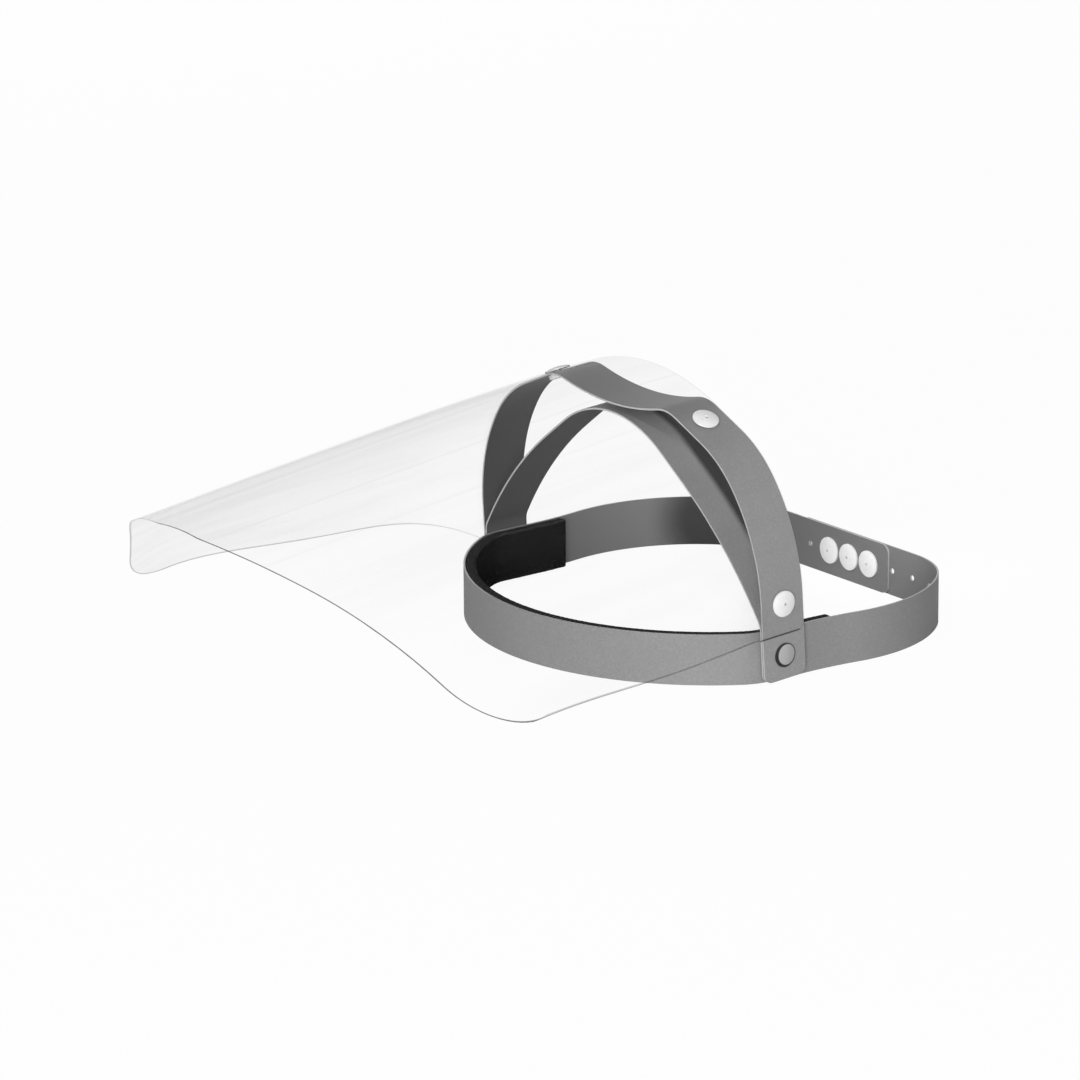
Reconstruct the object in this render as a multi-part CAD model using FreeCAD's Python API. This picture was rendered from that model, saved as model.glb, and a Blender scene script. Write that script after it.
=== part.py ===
"""Face shield: a closed plastic headband with a brow pad, a crown strap and a visor strap on one
pair of temple rivets, and a clear curved visor held to its strap by four press studs.
Millimetres. The origin is halfway between the temple rivets; +X is the wearer's left, -Y the
front and +Z up."""
import FreeCAD
import Part
import math
import os
from FreeCAD import Vector

# plastic strip that the headband and both straps are cut from
STRIP_THICK = 0.8
STRIP_WIDTH = 22.0
LAYER_GAP = 0.3          # between strips that turn on each other
CONTACT_GAP = 0.05       # between layers that are fastened together

# headband, seen from above
BAND_HALF_WIDTH = 93.4   # at the rivets
TEMPLE_RADIUS = 24.0
FRONT_TURN = 58.5        # half the angle of the brow's arc, degrees
TEMPLE_FLAT_FRONT = 5.4  # flat at the temples: this far in front of the rivets
TEMPLE_FLAT_REAR = 15.0  # and this far behind them
FLARE_RADIUS = 160.0     # behind the temples the band first bends outwards
FLARE_TURN = 9.0
SIDE_RADIUS = 72.0
SIDE_TURN = 52.0
REAR_RADIUS = 40.0
REAR_TURN = 47.0
OUTER_END_REACH = 28.0   # how far each end of the strip runs past the middle of the rear
INNER_END_REACH = 31.0
BAND_END_ROUND = 4.0

# rear closure
CLOSURE_PITCH = 13.2
CLOSURE_CENTRE_X = 5.0
CLOSURE_CAP_RADIUS = 5.9
SPARE_HOLE_RADIUS = 1.25
FIRST_SPARE_HOLE = 14.8  # from the last stud to the first spare hole of the outer layer
OUTER_SPARE_HOLES = 4

# brow pad
PAD_THICK = 3.6
PAD_HEIGHT = 20.6
PAD_FLARE_TURN = 4.6     # how far the pad follows the flare behind the temples
PAD_GAP = 0.2
PAD_POCKET_GAP = 0.5

# temple rivets
RIVET_SHANK_RADIUS = 2.4
RIVET_CLEARANCE = 0.05
RIVET_HEAD_RADIUS = 5.2
RIVET_RIM = 0.5
RIVET_DOME = 1.0
RIVET_BACK_RADIUS = 5.0
RIVET_BACK_THICK = 0.9
HEAD_GAP = 0.1

# crown strap, from its foot up
STRAP_FOOT = 10.6        # the straps reach this far below the rivets
CROWN_FLAT_TOP = 12.5
CROWN_HIP_RADIUS = 8.0
CROWN_HIP_TURN = 32.5
CROWN_SIDE_RADIUS = 190.0
CROWN_SIDE_TURN = 21.0
CROWN_BELOW = 4.0        # from the visor strap's middle down to the crown strap's
STRAP_END_ROUND = 4.0

# visor strap, from its foot up
VISOR_FLAT_TOP = 24.5
VISOR_SIDE_RADIUS = 79.0
VISOR_SIDE_TURN = 37.0
VISOR_SHOULDER_RADIUS = 50.0
VISOR_SHOULDER_TURN = 29.0
VISOR_STUD_RUN = 18.0    # straight stretch that carries the upper stud
VISOR_BROW_RADIUS = 18.0
VISOR_DIP_TURN = 14.0

# clear visor
FILM_THICK = 0.5
FILM_FOOT = 9.0          # height of its side edge above the rivets
FILM_HOLD = 13.0         # the visor follows the strap up to this distance in front of the rivets
FILM_DROP = 0.063        # fall of the ridge for each millimetre forward
FILM_REACH = 240.0       # the visor's last section, in front of the rivets
FILM_STATIONS = (0.25, 0.5, 0.708, 0.854, 1.0)     # and the others as shares of that
FILM_CROWN_BEND = (0.92, 0.92, 0.94, 0.96, 0.96)   # share of the strap's bend left at each
FILM_SIDE_BEND = (0.63, 0.46, 0.42, 0.60, 0.80)
CHIN_AHEAD = 156.7       # middle of the rounded lower corner, forward and up
CHIN_HEIGHT = 56.4
CHIN_RADIUS = 34.0
CHIN_START = -96.0
CHIN_END = -29.0
BROW_AHEAD = 207.0       # a point of the front edge half way up
BROW_HEIGHT = 68.0
TIP_AHEAD = 233.0        # and where it meets the ridge
TIP_HEIGHT = 90.0
FILM_REAR_ROUND = 4.0
STRAP_TILT = 3.5         # both arches lean forward at rest, degrees

# press studs
STUD_CAP_RADIUS = 5.6
STUD_RIM = 0.7
STUD_DOME = 0.9
STUD_PIN_RADIUS = 1.6
STUD_DIMPLE_RADIUS = 0.7
STUD_DIMPLE_DEPTH = 0.3
SOCKET_RADIUS = 4.6
SOCKET_THICK = 1.8
LOW_SOCKET_RADIUS = 3.2
LOW_SOCKET_THICK = 0.5
LOW_STUD_HEIGHT = 22.8
UPPER_STUD_PLACE = 11.0  # along the stud run from its lower end

# values that follow
HALF_STRIP = STRIP_THICK / 2
FRONT_RADIUS = ((BAND_HALF_WIDTH - TEMPLE_RADIUS * (1 - math.sin(math.radians(FRONT_TURN))))
                / math.sin(math.radians(FRONT_TURN)))
END_STEP = STRIP_THICK + CONTACT_GAP
CROWN_X = BAND_HALF_WIDTH + STRIP_THICK + LAYER_GAP
VISOR_X = CROWN_X + STRIP_THICK + LAYER_GAP
FILM_OFFSET = HALF_STRIP + CONTACT_GAP + FILM_THICK / 2
HINGE_OUTSIDE = VISOR_X + HALF_STRIP
BAND_INSIDE = BAND_HALF_WIDTH - HALF_STRIP


def walk(start, heading, steps):
    """Follow straight runs ("run", length) and arcs ("arc", radius, turn) and return the pieces,
    each as (kind, start, heading, size, turn). A positive turn goes to the left."""
    pieces = []
    x, y = start
    for step in steps:
        kind, size = step[0], step[1]
        turn = step[2] if kind == "arc" else 0.0
        pieces.append((kind, (x, y), heading, size, turn))
        (x, y), heading = piece_point(pieces[-1], 1.0), heading + turn
    return pieces, (x, y), heading


def piece_point(piece, share, offset=0.0):
    """A point on a piece, at a share of its length, offset to the left."""
    kind, (x, y), heading, size, turn = piece
    a = math.radians(heading)
    if kind == "run":
        x += size * share * math.cos(a)
        y += size * share * math.sin(a)
        return (x - offset * math.sin(a), y + offset * math.cos(a))
    side = 1.0 if turn > 0 else -1.0
    b = a + math.radians(turn * share)
    cx, cy = x - side * size * math.sin(a), y + side * size * math.cos(a)
    radius = size - side * offset
    return (cx + side * radius * math.sin(b), cy - side * radius * math.cos(b))


def edges_along(pieces, offset, place):
    """One exact line or arc for each piece, offset to the left and placed in space."""
    edges = []
    for piece in pieces:
        p, m, q = (place(piece_point(piece, s, offset)) for s in (0.0, 0.5, 1.0))
        curve = Part.LineSegment(p, q) if piece[0] == "run" else Part.Arc(p, m, q)
        edges.append(curve.toShape())
    return edges


def strip_wire(pieces, thick, place):
    """Closed wire around a strip that is thick wide and centred on the path."""
    left = edges_along(pieces, thick / 2, place)
    right = edges_along(pieces, -thick / 2, place)
    first, last = pieces[0], pieces[-1]
    caps = [Part.LineSegment(place(piece_point(p, s, thick / 2)),
                             place(piece_point(p, s, -thick / 2))).toShape()
            for p, s in ((last, 1.0), (first, 0.0))]
    return Part.Wire(left + [caps[0]] + right[::-1] + [caps[1]])


def from_above(height):
    return lambda p: Vector(p[0], p[1], height)


def from_front(reach):
    """Places a profile of the arches: across, and up from the rivets, at a distance forward."""
    return lambda p: Vector(p[0], -reach, p[1])


def cylinder(radius, start, end):
    """Cylinder along X."""
    return Part.makeCylinder(radius, end - start, Vector(start, 0, 0), Vector(1, 0, 0))


def rounded_sheet(size_u, size_v, rounds, depth, place):
    """Block over a rectangle with its four corners rounded, in order from low u, low v."""
    (u0, u1), (v0, v1) = size_u, size_v
    corners = [(u0, v0, 1, 1), (u1, v0, -1, 1), (u1, v1, -1, -1), (u0, v1, 1, -1)]
    edges = []
    ends = []
    for i, (u, v, du, dv) in enumerate(corners):
        r = rounds[i]
        along_u, along_v = (u + du * r, v), (u, v + dv * r)
        first, second = (along_v, along_u) if i % 2 == 0 else (along_u, along_v)
        if r > 0:
            k = r * (1 - math.sqrt(0.5))
            edges.append(Part.Arc(place(first), place((u + du * k, v + dv * k)),
                                  place(second)).toShape())
        ends.append((first, second))
    for i in range(4):
        edges.append(Part.LineSegment(place(ends[i][1]), place(ends[(i + 1) % 4][0])).toShape())
    face = Part.Face(Part.Wire(Part.__sortEdges__(edges)))
    return face.extrude(depth)


def tilted(shape):
    """Lean a piece of the arches forward about the rivets' axis."""
    turned = shape.copy()
    turned.rotate(Vector(0, 0, 0), Vector(1, 0, 0), STRAP_TILT)
    return turned


def mirrored(shape):
    return shape.mirror(Vector(0, 0, 0), Vector(1, 0, 0))


# ---- headband -------------------------------------------------------------------------------

REAR_STEPS = [("arc", REAR_RADIUS, -REAR_TURN), ("arc", SIDE_RADIUS, -SIDE_TURN),
              ("arc", FLARE_RADIUS, FLARE_TURN)]
REAR_SPAN = walk((0.0, 0.0), 0.0, REAR_STEPS)[1]
REAR_FLAT = BAND_HALF_WIDTH - REAR_SPAN[0]      # the rear is straight this far from its middle
REAR_Y = TEMPLE_FLAT_REAR - REAR_SPAN[1]


def band_path():
    """From the outer end at the rear, round the left side and the brow, to the inner end."""
    temple = ("arc", TEMPLE_RADIUS, FRONT_TURN - 90.0)
    flat = TEMPLE_FLAT_REAR + TEMPLE_FLAT_FRONT
    steps = [("run", OUTER_END_REACH + REAR_FLAT)] + REAR_STEPS
    steps += [("run", flat), temple, ("arc", FRONT_RADIUS, -2 * FRONT_TURN), temple]
    steps += [("run", flat - END_STEP)] + REAR_STEPS[::-1]
    steps += [("run", REAR_FLAT + INNER_END_REACH)]
    return walk((-OUTER_END_REACH, REAR_Y), 0.0, steps)[0]


def closure_places():
    return [CLOSURE_CENTRE_X + k * CLOSURE_PITCH for k in (-1, 0, 1)]


def band_hole(radius, place, heading):
    """A hole square through both layers of the band."""
    a = math.radians(heading)
    axis = Vector(-math.sin(a), math.cos(a), 0)
    reach = 3 * END_STEP
    return Part.makeCylinder(radius, 2 * reach, Vector(place[0], place[1], 0) - axis * reach, axis)


def spare_holes(pieces):
    """Holes past the closure: four in the outer layer round the corner, one in the inner."""
    holes = [band_hole(SPARE_HOLE_RADIUS, (closure_places()[0] - CLOSURE_PITCH, REAR_Y), 0.0)]
    corner = pieces[1]
    for k in range(OUTER_SPARE_HOLES):
        reach = closure_places()[-1] + FIRST_SPARE_HOLE + k * CLOSURE_PITCH
        share = max(0.0, math.degrees((reach - REAR_FLAT) / REAR_RADIUS) / REAR_TURN)
        place = piece_point(corner, share) if share > 0 else (reach, REAR_Y)
        holes.append(band_hole(SPARE_HOLE_RADIUS, place, -REAR_TURN * share))
    return holes


def end_trim(x_end, y_mid, direction):
    """The two corners that rounding takes off one end of the band."""
    r = BAND_END_ROUND
    half = STRIP_WIDTH / 2
    depth = Vector(0, STRIP_THICK * 1.5, 0)
    low = sorted((x_end, x_end - direction * r))
    block = Part.makeBox(r, depth.y, STRIP_WIDTH, Vector(low[0], y_mid - depth.y / 2, -half))
    rounds = [r, 0, 0, r] if direction < 0 else [0, r, r, 0]
    keep = rounded_sheet(sorted((x_end, x_end - direction * 3 * r)), (-half, half), rounds, depth,
                         lambda p: Vector(p[0], y_mid - depth.y / 2, p[1]))
    return block.cut(keep)


def make_headband():
    half = STRIP_WIDTH / 2
    pieces = band_path()
    face = Part.Face(strip_wire(pieces, STRIP_THICK, from_above(-half)))
    band = face.extrude(Vector(0, 0, STRIP_WIDTH))
    cuts = [end_trim(-OUTER_END_REACH, REAR_Y, -1), end_trim(INNER_END_REACH, REAR_Y - END_STEP, 1)]
    reach = BAND_HALF_WIDTH + STRIP_THICK
    cuts.append(cylinder(RIVET_SHANK_RADIUS + RIVET_CLEARANCE, -reach, reach))
    pin_hole = STUD_PIN_RADIUS + RIVET_CLEARANCE
    cuts += [band_hole(pin_hole, (x, REAR_Y), 0.0) for x in closure_places()]
    cuts += spare_holes(pieces)
    return band.cut(cuts)


def make_brow_pad():
    """Foam strip inside the brow, with a pocket over each rivet's back."""
    inset = HALF_STRIP + PAD_GAP + PAD_THICK / 2
    temple = ("arc", TEMPLE_RADIUS - inset, FRONT_TURN - 90.0)
    tail = ("arc", FLARE_RADIUS + inset, PAD_FLARE_TURN)
    flat = ("run", TEMPLE_FLAT_REAR + TEMPLE_FLAT_FRONT)
    steps = [tail, flat, temple, ("arc", FRONT_RADIUS - inset, -2 * FRONT_TURN), temple, flat, tail]
    a = math.radians(PAD_FLARE_TURN)
    start = (BAND_HALF_WIDTH - inset + tail[1] * (1 - math.cos(a)),
             TEMPLE_FLAT_REAR + tail[1] * math.sin(a))
    pieces = walk(start, -90.0 - PAD_FLARE_TURN, steps)[0]
    face = Part.Face(strip_wire(pieces, PAD_THICK, from_above(-PAD_HEIGHT / 2)))
    pad = face.extrude(Vector(0, 0, PAD_HEIGHT))
    pocket_floor = BAND_INSIDE - RIVET_BACK_THICK - PAD_POCKET_GAP
    pocket = cylinder(RIVET_BACK_RADIUS + PAD_POCKET_GAP, pocket_floor, BAND_HALF_WIDTH)
    return pad.cut([pocket, mirrored(pocket)])


# ---- straps ---------------------------------------------------------------------------------

def arch_from_foot(foot_x, foot_z, steps, crown_turn):
    """Right half of an arch from its foot to the middle; the last arc brings it to the middle."""
    pieces, (x, z), heading = walk((foot_x, foot_z), 90.0, steps)
    closing = x / math.sin(math.radians(abs(crown_turn)))
    last, _, _ = walk((x, z), heading, [("arc", closing, crown_turn)])
    return pieces + last


VISOR_STEPS = [("run", STRAP_FOOT + VISOR_FLAT_TOP), ("arc", VISOR_SIDE_RADIUS, VISOR_SIDE_TURN),
               ("arc", VISOR_SHOULDER_RADIUS, VISOR_SHOULDER_TURN), ("run", VISOR_STUD_RUN)]


def visor_path():
    brow_turn = 90.0 - VISOR_SIDE_TURN - VISOR_SHOULDER_TURN + VISOR_DIP_TURN
    steps = VISOR_STEPS + [("arc", VISOR_BROW_RADIUS, brow_turn)]
    return arch_from_foot(VISOR_X, -STRAP_FOOT, steps, -VISOR_DIP_TURN)


def crown_path():
    """Its straight run is as long as brings its middle to just below the visor strap's."""
    steps = [("run", STRAP_FOOT + CROWN_FLAT_TOP), ("arc", CROWN_HIP_RADIUS, CROWN_HIP_TURN),
             ("arc", CROWN_SIDE_RADIUS, CROWN_SIDE_TURN)]
    crown_turn = 90.0 - CROWN_HIP_TURN - CROWN_SIDE_TURN
    x, z = walk((CROWN_X, -STRAP_FOOT), 90.0, steps)[1]
    middle = piece_point(visor_path()[-1], 1.0)[1] - CROWN_BELOW
    run = (middle - z) / math.tan(math.radians(crown_turn / 2)) - x
    return arch_from_foot(CROWN_X, -STRAP_FOOT, steps + [("run", run)], crown_turn)


def strap_solid(half_path):
    """Thin arch of full strip width from half of its path, with rounded tabs at its feet."""
    half = STRIP_WIDTH / 2
    face = Part.Face(strip_wire(half_path, STRIP_THICK, from_front(half)))
    right = face.extrude(Vector(0, STRIP_WIDTH, 0))
    arch = right.fuse(mirrored(right)).removeSplitter()
    reach = CROWN_X + VISOR_X
    tabs = rounded_sheet((-half, half), (-STRAP_FOOT, reach),
                         [STRAP_END_ROUND, STRAP_END_ROUND, 0, 0], Vector(2 * reach, 0, 0),
                         lambda p: Vector(-reach, p[0], p[1]))
    bore = cylinder(RIVET_SHANK_RADIUS + RIVET_CLEARANCE, -reach, reach)
    return arch.common(tabs).cut(bore)


def make_crown_strap():
    return tilted(strap_solid(crown_path()))


def make_visor_strap():
    return tilted(strap_solid(visor_path()).cut(stud_bores()))


# ---- clear visor ----------------------------------------------------------------------------

def film_steps(crown_bend, side_bend):
    """The visor's section from the middle outwards, with shares of the strap's bend, and the
    height of its middle where it follows the strap."""
    place, heading = walk((VISOR_X, -STRAP_FOOT), 90.0, VISOR_STEPS)[1:]
    a = math.radians(heading)
    out = (place[0] + FILM_OFFSET * math.sin(a), place[1] - FILM_OFFSET * math.cos(a))
    turn = 180.0 - heading
    radius = out[0] / math.sin(math.radians(turn))
    height = out[1] + radius * (1 - math.cos(math.radians(turn)))
    shoulder, side = VISOR_SHOULDER_RADIUS + FILM_OFFSET, VISOR_SIDE_RADIUS + FILM_OFFSET
    steps = [("arc", radius / crown_bend, -turn * crown_bend), ("run", VISOR_STUD_RUN),
             ("arc", shoulder / side_bend, -VISOR_SHOULDER_TURN * side_bend),
             ("arc", side / side_bend, -VISOR_SIDE_TURN * side_bend),
             ("run", VISOR_FLAT_TOP - FILM_FOOT)]
    return steps, height


def film_wire(crown_bend, side_bend, reach):
    """Closed thin section of the whole visor at a distance in front of the rivets."""
    steps, height = film_steps(crown_bend, side_bend)
    middle = height - FILM_DROP * max(0.0, reach - FILM_HOLD)
    pieces = walk((0.0, middle), 0.0, steps)[0]
    place = from_front(reach)
    mirror_place = lambda p: place((-p[0], p[1]))
    half = FILM_THICK / 2
    foot = pieces[-1]
    cap = lambda at: Part.LineSegment(at(piece_point(foot, 1.0, half)),
                                      at(piece_point(foot, 1.0, -half))).toShape()
    edges = (edges_along(pieces, half, place) + [cap(place)]
             + edges_along(pieces, -half, place)[::-1]
             + edges_along(pieces, -half, mirror_place) + [cap(mirror_place)]
             + edges_along(pieces, half, mirror_place)[::-1])
    return Part.Wire(edges)


def chin_point(angle):
    a = math.radians(angle)
    return (CHIN_AHEAD + CHIN_RADIUS * math.cos(a), CHIN_HEIGHT + CHIN_RADIUS * math.sin(a))


def film_outline():
    """Block whose side view is the visor's outline: rounded rear corner, chin and long front."""
    across = 2 * VISOR_X
    place = lambda p: Vector(-across, -p[0], p[1])
    top = across
    rear = -STRIP_WIDTH / 2
    low = FILM_FOOT - FILM_THICK
    r = FILM_REAR_ROUND
    k = r * (1 - math.sqrt(0.5))
    corner = [(rear, FILM_FOOT + r), (rear + k, FILM_FOOT + k), (rear + r, FILM_FOOT)]
    chin = [chin_point(a) for a in (CHIN_START, (CHIN_START + CHIN_END) / 2, CHIN_END)]
    front = [chin[2], (BROW_AHEAD, BROW_HEIGHT), (TIP_AHEAD, TIP_HEIGHT)]
    edges = [Part.Arc(*[place(p) for p in arc]).toShape() for arc in (corner, chin, front)]
    lines = [(corner[2], (rear + 2 * r, FILM_FOOT)), ((rear + 2 * r, FILM_FOOT), (rear + 2 * r, low)),
             ((rear + 2 * r, low), (chin[0][0], low)), ((chin[0][0], low), chin[0]),
             (front[2], (front[2][0], top)), ((front[2][0], top), (rear, top)), ((rear, top), corner[0])]
    edges += [Part.LineSegment(place(p), place(q)).toShape() for p, q in lines]
    face = Part.Face(Part.Wire(Part.__sortEdges__(edges)))
    return face.extrude(Vector(2 * across, 0, 0))


def make_visor_film():
    rear = film_wire(1.0, 1.0, -STRIP_WIDTH / 2)
    hold = Part.Face(rear).extrude(Vector(0, -(FILM_HOLD + STRIP_WIDTH / 2), 0))
    wires = [film_wire(1.0, 1.0, FILM_HOLD)]
    reaches = [FILM_REACH * share for share in FILM_STATIONS]
    wires += [film_wire(*at) for at in zip(FILM_CROWN_BEND, FILM_SIDE_BEND, reaches)]
    sheet = hold.fuse(Part.makeLoft(wires, True, False))
    return tilted(sheet.common(film_outline()).cut(stud_bores()))


# ---- press studs ----------------------------------------------------------------------------

def stud_cap(radius, rim, dome, pin_length):
    """Domed cap with a dimple and its pin, made along X: the cap's flat face lies at zero."""
    sphere = (radius ** 2 + dome ** 2) / (2 * dome)
    disc = cylinder(radius, 0.0, rim)
    ball = Part.makeSphere(sphere, Vector(rim + dome - sphere, 0, 0))
    dome_part = ball.common(cylinder(radius, rim, rim + 2 * dome))
    dimple = cylinder(STUD_DIMPLE_RADIUS, rim + dome - STUD_DIMPLE_DEPTH, rim + 2 * dome)
    pin = cylinder(STUD_PIN_RADIUS, -pin_length, 0.0)
    return disc.fuse([dome_part, pin]).cut(dimple).removeSplitter()


def stud_socket(radius, thick):
    """Ring on the pin's inner end, made along X: its seat lies at zero and it runs inwards."""
    ring = cylinder(radius, -thick, 0.0)
    bore = cylinder(STUD_PIN_RADIUS, -2 * thick, thick)
    return ring.cut(bore)


def facing(shape, place, angle):
    """Turn a stud made along X by an angle about Y and move it to its place on the section."""
    put = shape.copy()
    put.rotate(Vector(0, 0, 0), Vector(0, 1, 0), -angle)
    put.translate(Vector(place[0], 0, place[1]))
    return put


def stud_seats():
    """Place on the strap's middle and outward angle of the lower and the upper stud."""
    pieces = visor_path()
    run = pieces[3]
    upper = piece_point(run, UPPER_STUD_PLACE / VISOR_STUD_RUN)
    return {"lower": ((VISOR_X, LOW_STUD_HEIGHT), 0.0), "upper": (upper, run[2] - 90.0)}


def stud_bores():
    reach = 2 * STUD_CAP_RADIUS
    bore = cylinder(STUD_PIN_RADIUS + RIVET_CLEARANCE, -reach, reach)
    right = [facing(bore, place, angle) for place, angle in stud_seats().values()]
    return right + [mirrored(b) for b in right]


def make_visor_studs():
    """Caps outside the clear visor and sockets inside the strap."""
    outside = HALF_STRIP + 2 * CONTACT_GAP + FILM_THICK
    inside = HALF_STRIP + CONTACT_GAP
    sockets = {"lower": (LOW_SOCKET_RADIUS, LOW_SOCKET_THICK), "upper": (SOCKET_RADIUS, SOCKET_THICK)}
    parts = {}
    for level, (place, angle) in stud_seats().items():
        radius, thick = sockets[level]
        cap = stud_cap(STUD_CAP_RADIUS, STUD_RIM, STUD_DOME, outside + inside + thick)
        cap.translate(Vector(outside, 0, 0))
        socket = stud_socket(radius, thick)
        socket.translate(Vector(-inside, 0, 0))
        for name, shape in (("cap", cap), ("socket", socket)):
            left = facing(shape, place, angle)
            parts[level + "_stud_" + name + "_left"] = tilted(left)
            parts[level + "_stud_" + name + "_right"] = tilted(mirrored(left))
    return parts


def make_closure_studs():
    """Three studs through both ends of the band, with their caps inside the loop."""
    parts = {}
    inner_face = REAR_Y - END_STEP - HALF_STRIP - CONTACT_GAP
    outer_face = REAR_Y + HALF_STRIP + CONTACT_GAP
    span = outer_face - inner_face
    for number, x in enumerate(closure_places(), start=1):
        cap = stud_cap(CLOSURE_CAP_RADIUS, STUD_RIM, STUD_DOME, span + SOCKET_THICK)
        socket = stud_socket(SOCKET_RADIUS, SOCKET_THICK)
        socket.rotate(Vector(0, 0, 0), Vector(0, 1, 0), 180)
        for shape in (cap, socket):
            shape.rotate(Vector(0, 0, 0), Vector(0, 0, 1), -90 if shape is cap else 90)
        cap.translate(Vector(x, inner_face, 0))
        socket.translate(Vector(x, outer_face, 0))
        parts["closure_stud_cap_%d" % number] = cap
        parts["closure_stud_socket_%d" % number] = socket
    return parts


# ---- temple rivets --------------------------------------------------------------------------

def make_rivets():
    """Domed head with the shank that both straps turn on, and a washer inside the band."""
    head_seat = HINGE_OUTSIDE + HEAD_GAP
    back_seat = BAND_INSIDE - CONTACT_GAP
    sphere = (RIVET_HEAD_RADIUS ** 2 + RIVET_DOME ** 2) / (2 * RIVET_DOME)
    top = head_seat + RIVET_RIM
    rim = cylinder(RIVET_HEAD_RADIUS, head_seat, top)
    ball = Part.makeSphere(sphere, Vector(top + RIVET_DOME - sphere, 0, 0))
    dome = ball.common(cylinder(RIVET_HEAD_RADIUS, top, top + 2 * RIVET_DOME))
    shank = cylinder(RIVET_SHANK_RADIUS, back_seat - RIVET_BACK_THICK, head_seat)
    head = rim.fuse([dome, shank]).removeSplitter()
    washer = cylinder(RIVET_BACK_RADIUS, back_seat - RIVET_BACK_THICK, back_seat)
    washer = washer.cut(cylinder(RIVET_SHANK_RADIUS, back_seat - 2 * RIVET_BACK_THICK, back_seat + 1))
    return {"temple_rivet_left": head, "temple_rivet_right": mirrored(head),
            "temple_washer_left": washer, "temple_washer_right": mirrored(washer)}


def make_all():
    parts = {"headband": make_headband(), "brow_pad": make_brow_pad(),
             "crown_strap": make_crown_strap(), "visor_strap": make_visor_strap(),
             "visor_film": make_visor_film()}
    parts.update(make_rivets())
    parts.update(make_visor_studs())
    parts.update(make_closure_studs())
    return parts


os.makedirs("parts", exist_ok=True)
for node, solid in make_all().items():
    box = solid.BoundBox
    print("%-24s solids %d valid %s volume %9.1f mm3  X %.1f %.1f  Y %.1f %.1f  Z %.1f %.1f" % (
        node, len(solid.Solids), solid.isValid(), solid.Volume,
        box.XMin, box.XMax, box.YMin, box.YMax, box.ZMin, box.ZMax))
    solid.exportStep("parts/%s.step" % node)
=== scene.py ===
import math
import bpy
import numpy
from mathutils import Matrix, Vector
from mathutils.bvhtree import BVHTree


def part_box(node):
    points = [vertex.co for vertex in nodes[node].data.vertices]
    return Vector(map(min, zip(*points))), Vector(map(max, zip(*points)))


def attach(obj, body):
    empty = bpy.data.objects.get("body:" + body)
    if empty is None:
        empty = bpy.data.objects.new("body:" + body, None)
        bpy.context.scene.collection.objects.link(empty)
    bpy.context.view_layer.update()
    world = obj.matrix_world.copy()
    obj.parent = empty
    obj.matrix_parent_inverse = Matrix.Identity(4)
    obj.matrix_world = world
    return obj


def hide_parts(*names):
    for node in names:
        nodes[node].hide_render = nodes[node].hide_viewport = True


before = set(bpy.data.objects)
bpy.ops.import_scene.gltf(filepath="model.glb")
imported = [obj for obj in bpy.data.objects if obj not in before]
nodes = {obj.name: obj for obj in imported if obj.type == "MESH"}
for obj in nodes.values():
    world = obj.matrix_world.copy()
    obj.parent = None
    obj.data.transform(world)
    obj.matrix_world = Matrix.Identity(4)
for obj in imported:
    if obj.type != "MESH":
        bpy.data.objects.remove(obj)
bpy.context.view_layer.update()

scene = bpy.context.scene
mm = 0.001


class Wire:  # one socket, with the maths that the finishes below need
    def __init__(self, graph, socket):
        self.graph = graph
        self.socket = socket

    def mathNode(self, operation, first, second=None):
        values = {0: first} if second is None else {0: first, 1: second}
        return self.graph.add("Math", {"operation": operation}, values)

    def __add__(self, other):
        return self.mathNode("ADD", self, other)

    def __radd__(self, other):
        return self.mathNode("ADD", other, self)

    def __sub__(self, other):
        return self.mathNode("SUBTRACT", self, other)

    def __rsub__(self, other):
        return self.mathNode("SUBTRACT", other, self)

    def __mul__(self, other):
        return self.mathNode("MULTIPLY", self, other)

    def __rmul__(self, other):
        return self.mathNode("MULTIPLY", other, self)

    def __truediv__(self, other):
        return self.mathNode("DIVIDE", self, other)

    def __pow__(self, other):
        return self.mathNode("POWER", self, other)

    def absolute(self):
        return self.mathNode("ABSOLUTE", self)

    def sine(self):
        return self.mathNode("SINE", self)

    def atMost(self, other):
        return self.mathNode("MINIMUM", self, other)

    def step(self, low, high):  # 0 below low, 1 above high, smooth between
        return self.graph.add("MapRange", {"interpolation_type": "SMOOTHSTEP"},
                              {"Value": self, "From Min": low, "From Max": high})


class Graph:  # one node tree, of a material or the world
    def __init__(self, tree):
        self.tree = tree

    def add(self, kind, settings, values, output=0):
        node = self.tree.nodes.new("ShaderNode" + kind)
        for key, value in settings.items():
            setattr(node, key, value)
        self.fill(node, values)
        return Wire(self, node.outputs[output])

    def fill(self, node, values):
        for key, value in values.items():
            if isinstance(value, Wire):
                self.tree.links.new(value.socket, node.inputs[key])
            else:
                node.inputs[key].default_value = value

    def rays(self, *kinds):  # 1 for a ray of any of these kinds
        found = 0.0
        for kind in kinds:
            found = self.add("LightPath", {}, {}, "Is %s Ray" % kind) + found
        return found.atMost(1.0)


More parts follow.
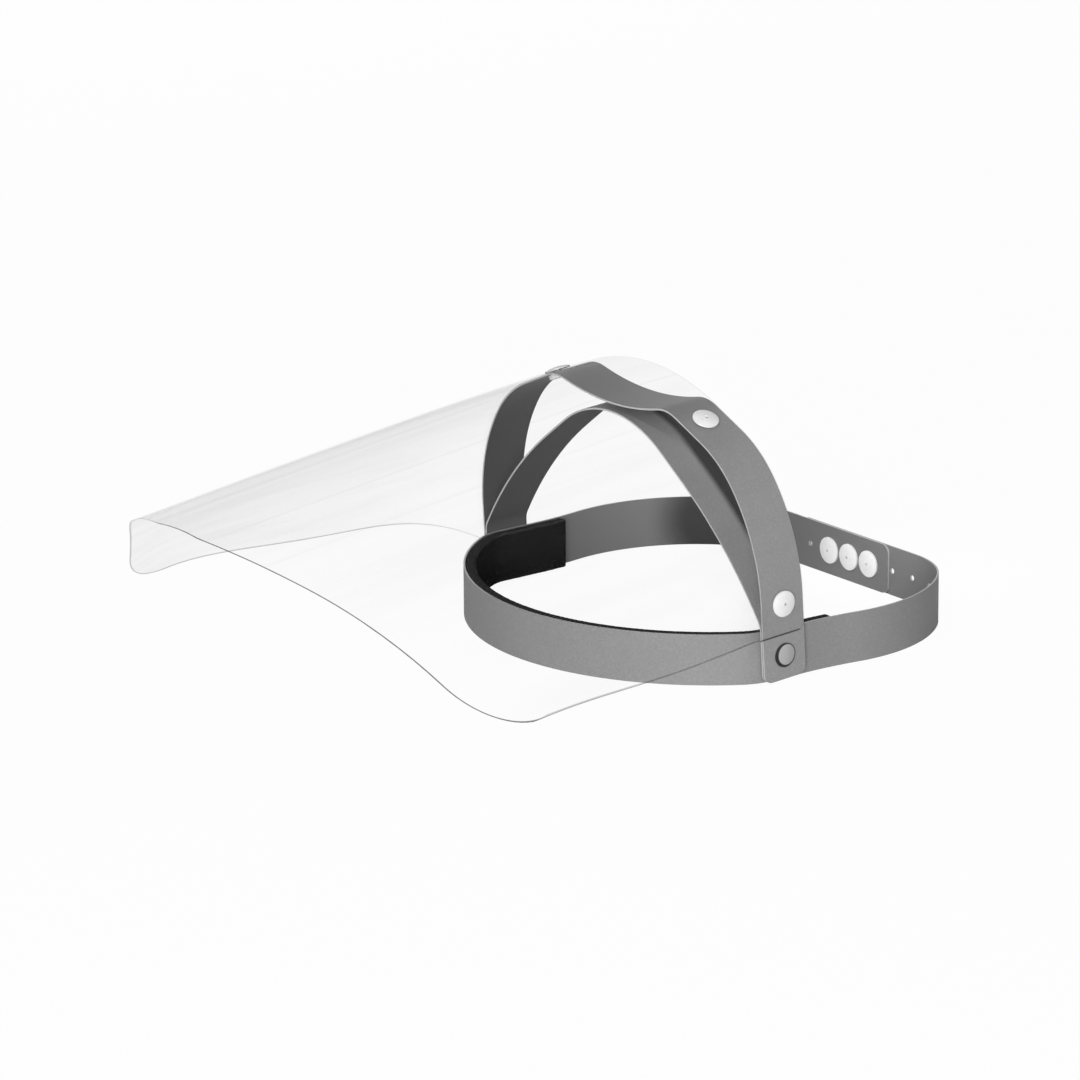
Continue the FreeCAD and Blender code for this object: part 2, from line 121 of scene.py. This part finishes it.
class Finish(Graph):  # one material with a Principled shader
    def __init__(self, name):
        self.material = bpy.data.materials.new(name)
        self.material.use_nodes = True
        super().__init__(self.material.node_tree)
        self.shader = self.tree.nodes["Principled BSDF"]

    def place(self, location=(0, 0, 0), rotation=(0, 0, 0), scale=(1, 1, 1)):
        objectPlace = self.add("TexCoord", {}, {}, "Object")
        if location == (0, 0, 0) and rotation == (0, 0, 0) and scale == (1, 1, 1):
            return objectPlace
        return self.add("Mapping", {"vector_type": "TEXTURE"},
                        {"Vector": objectPlace, "Location": location, "Rotation": rotation,
                         "Scale": scale})

    def noise(self, place, scale, detail=2.0, roughness=0.5):
        return self.add("TexNoise", {}, {"Vector": place, "Scale": scale, "Detail": detail,
                                         "Roughness": roughness})

    def axis(self, place, letter):
        return self.add("SeparateXYZ", {}, {"Vector": place}, letter)

    def blend(self, mask, low, high):
        return self.add("Mix", {"data_type": "RGBA"}, {0: mask, 6: low, 7: high}, 2)

    def vary(self, mask, shade, spread):  # a grey that goes down and up by a share of itself
        return self.blend(mask, grey(shade * (1 - spread)), grey(shade * (1 + spread)))

    def bump(self, height, strength, distance):
        return self.add("Bump", {}, {"Height": height, "Strength": strength,
                                     "Distance": distance})

    def set(self, **values):
        self.fill(self.shader, {key.replace("_", " "): value for key, value in values.items()})
        return self.material


def grey(value):
    return (value, value, value, 1.0)


def dress(names, material):
    for name in names:
        mesh = nodes[name].data
        mesh.materials.clear()
        mesh.materials.append(material)


def edgeFaces(piece, thickness):  # numbers of the faces with no second skin close behind them
    mesh = piece.data
    points = [v.co for v in mesh.vertices]
    tree = BVHTree.FromPolygons(points, [tuple(p.vertices) for p in mesh.polygons])
    start, reach = 0.01 * mm, thickness * 1.5
    found = set()
    for face in mesh.polygons:
        inward = -Vector(face.normal)
        hit = tree.ray_cast(face.center + inward * start, inward, reach)
        if hit[0] is None:
            found.add(face.index)
    return found


strip = {
    "thickness": 0.8 * mm,
    "bandShade": 0.224,
    "strapShade": 0.255,
    # the insides are painted darker than the outsides: painted shade
    "bandBack": 0.175,
    "strapBack": 0.078,
    # the cut edges are painted lighter than the faces, a painted highlight; their streaks are the
    # cut's own marks
    "edgeShade": 0.46,
    "spread": 0.22,                             # how far the grain takes a shade down and up
    "grainSize": 0.85 * mm,
    "grainDepth": 0.09 * mm,
    "grainContrast": 0.75,                      # on the outsides
    "backContrast": 0.15,
    "clouds": 30.0,                             # slow changes of tone, per metre
    "streaks": 900.0,                           # fine streaks on the cut edges, per metre
    "roughness": 0.5,
    "edgeRoughness": 0.38,
    "lean": 3.5,                                # the arches lean forward at rest, degrees
    "shadowAcross": (1 * mm, 5 * mm),            # crown strap, painted shadow under the visor strap
    "shadowUp": (30 * mm, 52 * mm),
    "dipReach": (34 * mm, 60 * mm),             # visor strap, painted shade in its dip
    "dipShadeStrength": 0.40,
    "cornerMiddle": (-75 * mm, 103 * mm, 0.0),  # headband, painted shade in its rear corner
    "cornerReach": (13 * mm, 34 * mm),
    "cornerShadeStrength": 0.92,
    "paintedShadeShare": 0.06,                          # share of a shade that is left in the painted shade
}


def grainedPlastic(name, shade, contrast, mask=None):
    finish = Finish(name)
    place = finish.place()
    cells = finish.add("TexVoronoi", {"feature": "SMOOTH_F1"},
                       {"Vector": place, "Scale": 1 / strip["grainSize"], "Smoothness": 0.6})
    fine = finish.noise(place, 2.2 / strip["grainSize"], 3.0)
    cloud = finish.noise(place, strip["clouds"], 3.0)
    grain = cells * 0.7 + fine * 0.5
    tone = (cloud - 0.5) * 0.3 + (grain - 0.55) * contrast + 0.5    # 0.5 on average
    colour = finish.vary(tone, shade, strip["spread"])
    # the mask paints shade: the colour goes down to a small share of the shade
    if mask is not None:
        dark = grey(shade * strip["paintedShadeShare"])
        colour = finish.blend(mask(finish, place), colour, dark)
    return finish.set(Base_Color=colour, Roughness=(fine - 0.5) * 0.25 + strip["roughness"],
                      Specular_IOR_Level=0.4,
                      Normal=finish.bump(grain, 0.5, strip["grainDepth"]))


def paintedShadowUnderVisorStrap(finish, place):  # painted shadow: the crown strap is darker where the other lies over it
    lean = math.radians(strip["lean"])
    up = finish.axis(place, "Z")
    across = finish.axis(place, "Y") * math.cos(lean) + up * math.sin(lean)
    return across.step(*strip["shadowAcross"]) * up.step(*strip["shadowUp"])


def paintedShadeUnderFilm(finish, place):  # painted shade: the visor strap is darker in its dip, under the film
    across = finish.axis(place, "X").absolute()
    return (1 - across.step(*strip["dipReach"])) * strip["dipShadeStrength"]


def paintedShadeInRearCorner(finish, place):  # painted shade: the headband is darker inside its far rear corner
    reach = finish.add("VectorMath", {"operation": "DISTANCE"},
                       {0: place, 1: strip["cornerMiddle"]}, "Value")
    return (1 - reach.step(*strip["cornerReach"])) * strip["cornerShadeStrength"]


def cutPlastic(name, shade):
    finish = Finish(name)
    streak = finish.noise(finish.place(), strip["streaks"])
    return finish.set(Base_Color=finish.vary(streak, shade, 0.1),
                      Roughness=strip["edgeRoughness"])


def dressStrip(name, middle, front, back, edge):  # front is the side that faces off the middle
    piece = nodes[name]
    mesh = piece.data
    mesh.materials.clear()
    for material in (front, back, edge):
        mesh.materials.append(material)
    rim = edgeFaces(piece, strip["thickness"])
    for face in mesh.polygons:
        outward = (Vector(face.center) - Vector(middle)).dot(face.normal) > 0
        face.material_index = 2 if face.index in rim else 0 if outward else 1


stripEdge = cutPlastic("stripEdge", strip["edgeShade"])
strapBack = grainedPlastic("strapBack", strip["strapBack"], strip["backContrast"])
bandBack = grainedPlastic("bandBack", strip["bandBack"], strip["backContrast"], paintedShadeInRearCorner)
bandFront = grainedPlastic("bandFront", strip["bandShade"], strip["grainContrast"])
crownFront = grainedPlastic("crownFront", strip["strapShade"], strip["grainContrast"],
                            paintedShadowUnderVisorStrap)
visorStrapFront = grainedPlastic("visorStrapFront", strip["strapShade"],
                                 strip["grainContrast"], paintedShadeUnderFilm)
dressStrip("headband", (0, 20 * mm, 0), bandFront, bandBack, stripEdge)
dressStrip("crown_strap", (0, 0, 20 * mm), crownFront, strapBack, stripEdge)
dressStrip("visor_strap", (0, 0, 20 * mm), visorStrapFront, strapBack, stripEdge)
print("strips dressed")


visor = {
    "thickness": 0.5 * mm,
    "tint": 0.06,
    "clearAlpha": 0.002,      # square to the eye, each skin
    "grazingAlpha": 0.098,    # along the skin, a painted reflection that greys the film where it is seen edge-on
    "streakAlpha": 0.050,
    "streakSize": (11 * mm, 300 * mm, 11 * mm),
    "ridgeReflections": ((18 * mm, 0.9 * mm), (44 * mm, 1.1 * mm)),   # painted reflection lines along the ridge: place, width
    "ridgeReflectionAlpha": 0.11,
    "ridgeLean": 7.1,         # the ridge falls forward, degrees
    "edgeShade": 0.02,
    "edgeAlpha": 0.6,         # of the dark border painted beside the cuts, painted shade
    "borderWidth": 0.42 * mm,
    "nearEdge": 1.0,          # strength of the cut edges' painted shade on each side
    "farEdge": 0.38,
    "sideFade": 30 * mm,
    "rearFade": (-30 * mm, -12 * mm),
    "rearLoss": 0.88,
    "chin": (156.7 * mm, 56.4 * mm),     # middle of the chin's round, ahead and up
    "chinRadius": 34 * mm,
    "chinEnd": -29.0,         # the round stops here, degrees
    "chinFade": (-6 * mm, -3 * mm),
    "front": ((207 * mm, 68 * mm), (233 * mm, 90 * mm)),     # on the front cut
    "hold": 13 * mm,          # the film follows its strap up to this far ahead
    "foot": 9 * mm,           # height of its lower edge there
    "footStrength": 0.75,     # of the painted shade along the lower edge, over the strap
    "lowerStrength": 0.45,    # and ahead of the strap
    "lowerDegree": 5,         # of the polynomial that follows the lower edge
}
film = nodes["visor_film"]
filmRim = edgeFaces(film, visor["thickness"])


def circleThrough(first, second, third):  # its middle and radius
    (ax, ay), (bx, by), (cx, cy) = first, second, third
    span = 2 * (ax * (by - cy) + bx * (cy - ay) + cx * (ay - by))
    squares = [x * x + y * y for x, y in (first, second, third)]
    x = (squares[0] * (by - cy) + squares[1] * (cy - ay) + squares[2] * (ay - by)) / span
    y = (squares[0] * (cx - bx) + squares[1] * (ax - cx) + squares[2] * (bx - ax)) / span
    return (x, y), math.hypot(ax - x, ay - y)


def sideView(y, z):  # how far ahead and how high, square to the leaning arches
    lean = math.radians(strip["lean"])
    return y * -math.cos(lean) - z * math.sin(lean), z * math.cos(lean) - y * math.sin(lean)


def lowerCurve():  # the height of the film's lower edge along its length, highest power first
    mesh = film.data
    spots = set()
    for number in filmRim:
        face = mesh.polygons[number]
        if face.normal.z < -0.3:  # this part of the rim looks down
            for corner in face.vertices:
                ahead, up = sideView(*mesh.vertices[corner].co.yz)
                if visor["hold"] < ahead < visor["chin"][0]:
                    spots.add((ahead, up))
    ahead, up = numpy.array(sorted(spots)).T
    curve = numpy.polyfit(ahead, up, visor["lowerDegree"])
    return [float(value) for value in curve]


def pastChin(ahead):  # 0 behind the lowest point of the chin, 1 ahead of it
    start, end = visor["chinFade"]
    return ahead.step(visor["chin"][0] + start, visor["chin"][0] + end)


def cutBorder(ahead, up):  # painted shade: 1 in the last bit of film beside its chin and front cuts
    width = visor["borderWidth"]
    inner, outer = width * 0.7, width * 1.3
    (chinAhead, chinUp), chinRadius = visor["chin"], visor["chinRadius"]
    turn = math.radians(visor["chinEnd"])
    chinTop = (chinAhead + chinRadius * math.cos(turn), chinUp + chinRadius * math.sin(turn))
    (frontAhead, frontUp), frontRadius = circleThrough(chinTop, *visor["front"])
    fromFront = ((ahead - frontAhead) ** 2 + (up - frontUp) ** 2) ** 0.5 - frontRadius
    fromChin = chinRadius - ((ahead - chinAhead) ** 2 + (up - chinUp) ** 2) ** 0.5
    upper = up.step(chinTop[1] - width, chinTop[1] + width)
    front = (1 - fromFront.absolute().step(inner, outer)) * upper
    chin = (1 - fromChin.absolute().step(inner, outer)) * (1 - upper)
    return front + chin * pastChin(ahead)


def lowerBorder(ahead, up):  # the same painted shade along its lower edge, strongest over the strap
    width = visor["borderWidth"]
    behind = 1 - ahead.step(visor["hold"] * 0.9, visor["hold"] * 1.1)
    curve = 0.0
    for value in lowerCurve():
        curve = ahead * curve + value
    foot = curve * (1 - behind) + behind * visor["foot"]
    border = (1 - (up - foot).step(width, width * 1.5)) * (1 - pastChin(ahead))
    extra = visor["footStrength"] - visor["lowerStrength"]
    return border * (behind * extra + visor["lowerStrength"])


def sideStrength(finish, place):  # painted shade on the cut edges, dark on the near side, fainter on the far side
    side = finish.axis(place, "X").step(-visor["sideFade"], visor["sideFade"])
    return side * (visor["nearEdge"] - visor["farEdge"]) + visor["farEdge"]


def edgeStrength(finish, place):  # and fainter again at the rear
    rear = finish.axis(place, "Y").step(*visor["rearFade"])
    return sideStrength(finish, place) * (1 - rear * visor["rearLoss"])


def clearFilm():
    finish = Finish("clearFilm")
    lean = (math.radians(visor["ridgeLean"]), 0, 0)
    whole = finish.place()
    place = finish.place(rotation=lean)
    along = finish.place(rotation=lean, scale=visor["streakSize"])
    across = finish.axis(place, "X").absolute()
    # painted reflection streaks along the ridge
    streaks = finish.noise(along, 1.0, 3.0, 0.55).step(0.40, 0.75)
    ridgeReflections = 0.0
    for middle, width in visor["ridgeReflections"]:
        ridgeReflections = 1 - ((across - middle) / width).absolute().step(0.0, 1.0) + ridgeReflections
    grazing = finish.add("LayerWeight", {}, {"Blend": 0.5}, "Facing")
    ahead, up = sideView(finish.axis(whole, "Y"), finish.axis(whole, "Z"))
    cuts, lower = cutBorder(ahead, up), lowerBorder(ahead, up)
    border = cuts * edgeStrength(finish, whole) + lower * sideStrength(finish, whole)
    alpha = (grazing ** 1.9 * visor["grazingAlpha"] + visor["clearAlpha"]
             + streaks * grazing * visor["streakAlpha"]
             + ridgeReflections * grazing ** 2 * visor["ridgeReflectionAlpha"]
             + border * visor["edgeAlpha"])
    colour = finish.blend(cuts + lower, grey(visor["tint"]), grey(visor["edgeShade"]))
    return finish.set(Base_Color=colour, Roughness=0.05, IOR=1.45, Alpha=alpha.atMost(1.0))


# the cut edges are painted dark, painted shade for the darkness that refraction gives them
def filmEdge():
    finish = Finish("filmEdge")
    place = finish.place()
    cut = finish.noise(place, 300.0)
    return finish.set(Base_Color=finish.vary(cut, visor["edgeShade"], 0.3),
                      Roughness=0.3, Specular_IOR_Level=0.1, Alpha=edgeStrength(finish, place))


dress(["visor_film"], clearFilm())
film.data.materials.append(filmEdge())
for number in filmRim:
    film.data.polygons[number].material_index = 1
print("clear visor dressed")


stud = {
    "shade": 0.85,
    "closurePaintedLightShade": 0.97,     # the three studs at the rear of the headband, painted lighter than the others: painted light where they get less of it
    "darkShade": 0.05,
    "roughness": 0.36,
    "wear": 500.0,            # per metre
    "ringPitch": 0.75 * mm,
    "ringDepth": 0.06 * mm,
    "ringsFrom": (1.1 * mm, 1.4 * mm),
    "ringsTo": (3.0 * mm, 4.2 * mm),
    "dimpleRadius": 0.75 * mm,
}
rivet = {
    "shade": 0.36,
    "paintedRingShadow": 0.010,
    "roughness": 0.34,
    "domeRadius": 4.35 * mm,
    "ringBlur": 0.1 * mm,
    "ringShift": (0.0, 0.35 * mm, 0.3 * mm),    # the painted shadow ring is thicker in front and below
    "grain": 0.5 * mm,
    "grainDepth": 0.03 * mm,
}


def fromAxis(finish, place):  # distance from the X axis
    side, up = finish.axis(place, "Y"), finish.axis(place, "Z")
    return (side * side + up * up) ** 0.5


def studPlastic(name, middle, outward, shade):
    finish = Finish(name)
    turn = Vector(outward).to_track_quat("X", "Z").to_euler()
    place = finish.place(tuple(middle), tuple(turn))
    radius = fromAxis(finish, place)
    inRings = (1 - radius.step(*stud["ringsTo"])) * radius.step(*stud["ringsFrom"])
    # painted shade along the rings, on top of their bump
    rings = (radius * (2 * math.pi / stud["ringPitch"])).sine() * inRings
    wear = finish.noise(place, stud["wear"], 3.0)
    dimple = stud["dimpleRadius"]
    # painted shade in the dimple at the middle
    dark = (1 - radius.step(dimple * 0.5, dimple * 1.2)) * 0.5
    tone = 0.9 + (wear - 0.5) * 0.16 + rings * 0.09 - dark
    return finish.set(Base_Color=finish.blend(tone, grey(stud["darkShade"]), grey(shade)),
                      Roughness=(wear - 0.5) * 0.2 + stud["roughness"],
                      Normal=finish.bump(rings, 0.35, stud["ringDepth"]))


def middleOf(name):
    low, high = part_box(name)
    return (Vector(low) + Vector(high)) / 2


def dressStud(cap, socket, outward, shade):
    dress([cap, socket], studPlastic(cap + "_finish", middleOf(cap), outward, shade))


for level in ("lower", "upper"):
    for side in ("left", "right"):
        cap, socket = ("%s_stud_%s_%s" % (level, part, side) for part in ("cap", "socket"))
        dressStud(cap, socket, middleOf(cap) - middleOf(socket), stud["shade"])
for number in (1, 2, 3):
    dressStud("closure_stud_cap_%d" % number, "closure_stud_socket_%d" % number, (0, -1, 0),
              stud["closurePaintedLightShade"])


def rivetPlastic():
    finish = Finish("rivetPlastic")
    place = finish.place(rivet["ringShift"])
    dome = rivet["domeRadius"]
    # painted shadow in the gap round the dome
    rim = fromAxis(finish, place).step(dome, dome + rivet["ringBlur"])
    grain = finish.noise(place, 1 / rivet["grain"], 3.0)
    shade = finish.vary((grain - 0.5) * 0.6 + 0.5, rivet["shade"], 0.15)
    return finish.set(Base_Color=finish.blend(rim, shade, grey(rivet["paintedRingShadow"])),
                      Roughness=rivet["roughness"],
                      Normal=finish.bump(grain, 0.25, rivet["grainDepth"]))


dress(["temple_rivet_left", "temple_rivet_right", "temple_washer_left", "temple_washer_right"],
      rivetPlastic())
print("studs and rivets dressed")


pad = {
    "bandHalfWidth": 93.4 * mm,
    "gap": 0.65 * mm,      # from the band's middle to the foam
    "thickness": 4.5 * mm,
    "height": 21.9 * mm,
    "flareRadius": 160 * mm,
    "flareTurn": 4.6,
    "flat": 20.4 * mm,
    "flatRear": 15 * mm,
    "templeRadius": 24 * mm,
    "frontTurn": 58.5,
    "frontRadius": 105.39 * mm,
    "cornerRadius": 0.7 * mm,
    "cellSize": 0.55 * mm,
    "poreSize": 1.1 * mm,
    "poreDepth": 0.2 * mm,
    "fineGrain": 1600.0,   # per metre
    "shade": 0.009,
    "cutShade": 0.034,     # the foam's cut top and bottom, painted lighter: a painted highlight where the top catches the light
    "cutRim": (0.9 * mm, 0.4 * mm),
}


def spinEnd(turn, centre, steps):
    bpy.ops.mesh.spin(steps=steps, angle=-math.radians(turn), center=centre, axis=(0, 0, 1))


def pushEnd(length):
    bpy.ops.mesh.extrude_region_move(TRANSFORM_OT_translate={"value": (0, length, 0)})


def makePad():  # one end of the strip is drawn and carried round the brow to the other temple
    middle = pad["gap"] + pad["thickness"] / 2
    flareX = pad["bandHalfWidth"] + pad["flareRadius"]
    templeX = pad["bandHalfWidth"] - pad["templeRadius"]
    templeY = pad["flatRear"] - pad["flat"]
    templeTurn = 90 - pad["frontTurn"]
    frontY = templeY + ((pad["frontRadius"] - pad["templeRadius"])
                        * math.cos(math.radians(pad["frontTurn"])))
    start = math.radians(pad["flareTurn"])
    reach = pad["flareRadius"] + middle
    bpy.ops.object.select_all(action="DESELECT")
    bpy.ops.mesh.primitive_plane_add(
        size=1, rotation=(math.pi / 2, 0, -start),
        location=(flareX - reach * math.cos(start), pad["flatRear"] + reach * math.sin(start), 0))
    piece = bpy.context.object
    piece.name = "brow_foam"
    bpy.ops.object.mode_set(mode="EDIT")
    bpy.ops.transform.resize(value=(pad["thickness"], pad["thickness"], pad["height"]))
    bpy.ops.object.mode_set(mode="OBJECT")
    bpy.ops.object.transform_apply(location=True, rotation=True, scale=True)
    bpy.ops.object.mode_set(mode="EDIT")
    bpy.ops.mesh.select_all(action="SELECT")
    spinEnd(pad["flareTurn"], (flareX, pad["flatRear"], 0), 6)
    pushEnd(-pad["flat"])
    spinEnd(-templeTurn, (templeX, templeY, 0), 8)
    spinEnd(-2 * pad["frontTurn"], (0, frontY, 0), 60)
    spinEnd(-templeTurn, (-templeX, templeY, 0), 8)
    pushEnd(pad["flat"])
    spinEnd(pad["flareTurn"], (-flareX, pad["flatRear"], 0), 6)
    bpy.ops.mesh.select_all(action="SELECT")
    bpy.ops.mesh.remove_doubles(threshold=0.01 * mm)
    bpy.ops.mesh.normals_make_consistent(inside=False)
    bpy.ops.object.mode_set(mode="OBJECT")
    return piece


def frayPad(piece):  # round corners, then open cells all over
    bevel = piece.modifiers.new("corners", "BEVEL")
    bevel.width = pad["cornerRadius"]
    bevel.segments = 3
    bevel.limit_method = "ANGLE"
    bevel.angle_limit = math.radians(50)
    remesh = piece.modifiers.new("cells", "REMESH")
    remesh.mode = "VOXEL"
    remesh.voxel_size = pad["cellSize"]
    pores = bpy.data.textures.new("pores", "CLOUDS")
    pores.noise_scale = pad["poreSize"]
    pores.noise_depth = 2
    push = piece.modifiers.new("pores", "DISPLACE")
    push.texture = pores
    push.texture_coords = "LOCAL"
    push.strength = pad["poreDepth"]
    push.mid_level = 0.7
    for modifier in ("corners", "cells", "pores"):
        bpy.ops.object.modifier_apply(modifier=modifier)
    bpy.ops.object.shade_smooth()


def foam():
    finish = Finish("padFoam")
    place = finish.place()
    pores = finish.add("TexVoronoi", {"feature": "F1"},
                       {"Vector": place, "Scale": 1 / (0.8 * pad["poreSize"])})
    fine = finish.noise(place, pad["fineGrain"], 4.0, 0.6)
    texture = pores * 1.1 + (fine - 0.5) * 1.2
    top, (inner, outer) = pad["height"] / 2, pad["cutRim"]
    # top and bottom painted lighter, a painted highlight
    cut = finish.axis(place, "Z").absolute().step(top - inner, top - outer)
    face = finish.blend(texture, grey(pad["shade"] * 0.3), grey(pad["shade"] * 2.4))
    cutFace = finish.blend(texture, grey(pad["cutShade"] * 0.3), grey(pad["cutShade"] * 2.0))
    return finish.set(Base_Color=finish.blend(cut, face, cutFace),
                      Roughness=1.0, Specular_IOR_Level=0.0,
                      Normal=finish.bump(texture, 0.5, pad["poreDepth"]))


browFoam = makePad()
frayPad(browFoam)
browFoam.data.materials.append(foam())
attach(browFoam, "head")
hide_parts("brow_pad")
dress(["brow_pad"], browFoam.data.materials[0])
print("brow pad made", len(browFoam.data.polygons), "faces")


studio = {
    "floorSize": 30.0,
    "floorHeight": -11.0 * mm,     # the headband stands on its lower edge
    "floorShade": 0.92,
    "floorGlow": 0.965,
    "worldLight": 0.25,
}
lamps = {
    "keyLamp": {"kind": "AREA", "place": (1.75, -1.75, 0.55), "aim": (0, -0.05, 0.03),
                "size": 1.3, "power": 66.0},
    "backLamp": {"kind": "AREA", "place": (-2.1, 0.85, 0.45), "aim": (0, -0.05, 0.03),
                 "size": 0.8, "power": 14.0},
    "closureLamp": {"kind": "SPOT", "place": (0.06, -0.62, 0.95), "aim": (0.012, 0.115, 0.0),
                    "size": 0.05, "power": 40.0, "cone": 5.4},   # only lights the rear closure
}
view = {
    "place": (2.08508, -1.65135, 0.82396),
    "azimuth": 52.553,        # angles in degrees
    "elevation": 16.667,
    "roll": -0.359,
    "lens": 216.94,
}


def makeFloor():  # white to the camera, and it still takes the object's shadow
    bpy.ops.object.select_all(action="DESELECT")
    bpy.ops.mesh.primitive_plane_add(size=studio["floorSize"],
                                     location=(0, 0, studio["floorHeight"]))
    floor = bpy.context.object
    floor.name = "floor"
    bpy.ops.object.transform_apply(location=True, rotation=True, scale=True)
    finish = Finish("floorWhite")
    finish.set(Base_Color=grey(studio["floorShade"]), Roughness=0.9, Specular_IOR_Level=0.1)
    seen = finish.rays("Camera", "Transmission") * studio["floorGlow"]
    glow = finish.add("Emission", {}, {"Color": grey(1.0), "Strength": 1.0})
    plain = Wire(finish, finish.shader.outputs[0])
    mix = finish.add("MixShader", {}, {0: seen, 1: plain, 2: glow})
    finish.fill(finish.tree.nodes["Material Output"], {"Surface": mix})
    floor.data.materials.append(finish.material)


def makeWorld():  # white where it is seen, and a plain grey light on the object
    world = bpy.data.worlds.new("studio")
    scene.world = world
    world.use_nodes = True
    graph = Graph(world.node_tree)
    seen = graph.rays("Camera", "Transmission", "Glossy")
    level = seen * (1 - studio["worldLight"]) + studio["worldLight"]
    graph.fill(graph.tree.nodes["Background"], {"Color": grey(1.0), "Strength": level})


def makeLamp(name, values):
    bpy.ops.object.light_add(type=values["kind"], location=values["place"])
    lamp = bpy.context.object
    lamp.name = name
    lamp.data.energy = values["power"]
    if values["kind"] == "AREA":
        lamp.data.shape = "DISK"
        lamp.data.size = values["size"]
    else:
        lamp.data.shadow_soft_size = values["size"]
        lamp.data.spot_size = math.radians(values["cone"])
        lamp.data.spot_blend = 1.0
    lamp.visible_glossy = name == "keyLamp"     # only the key light shows in reflections
    aim = Vector(values["aim"]) - Vector(values["place"])
    lamp.rotation_euler = aim.to_track_quat("-Z", "Y").to_euler()


def makeCamera():
    azimuth, elevation = math.radians(view["azimuth"]), math.radians(view["elevation"])
    right = Vector((math.cos(azimuth), math.sin(azimuth), 0))
    up = Vector((-math.sin(azimuth) * math.sin(elevation),
                 math.cos(azimuth) * math.sin(elevation), math.cos(elevation)))
    turn = Matrix.Rotation(math.radians(view["roll"]), 3, right.cross(up))
    right, up = turn @ right, turn @ up
    axes = Matrix((right, up, right.cross(up))).transposed()
    bpy.ops.object.camera_add(location=view["place"], rotation=axes.to_euler())
    camera = bpy.context.object
    camera.data.lens = view["lens"]
    camera.data.sensor_width = 36
    camera.data.clip_end = 60
    scene.camera = camera


makeFloor()
makeWorld()
for name, values in lamps.items():
    makeLamp(name, values)
makeCamera()
scene.view_settings.view_transform = "Standard"
print("studio ready")
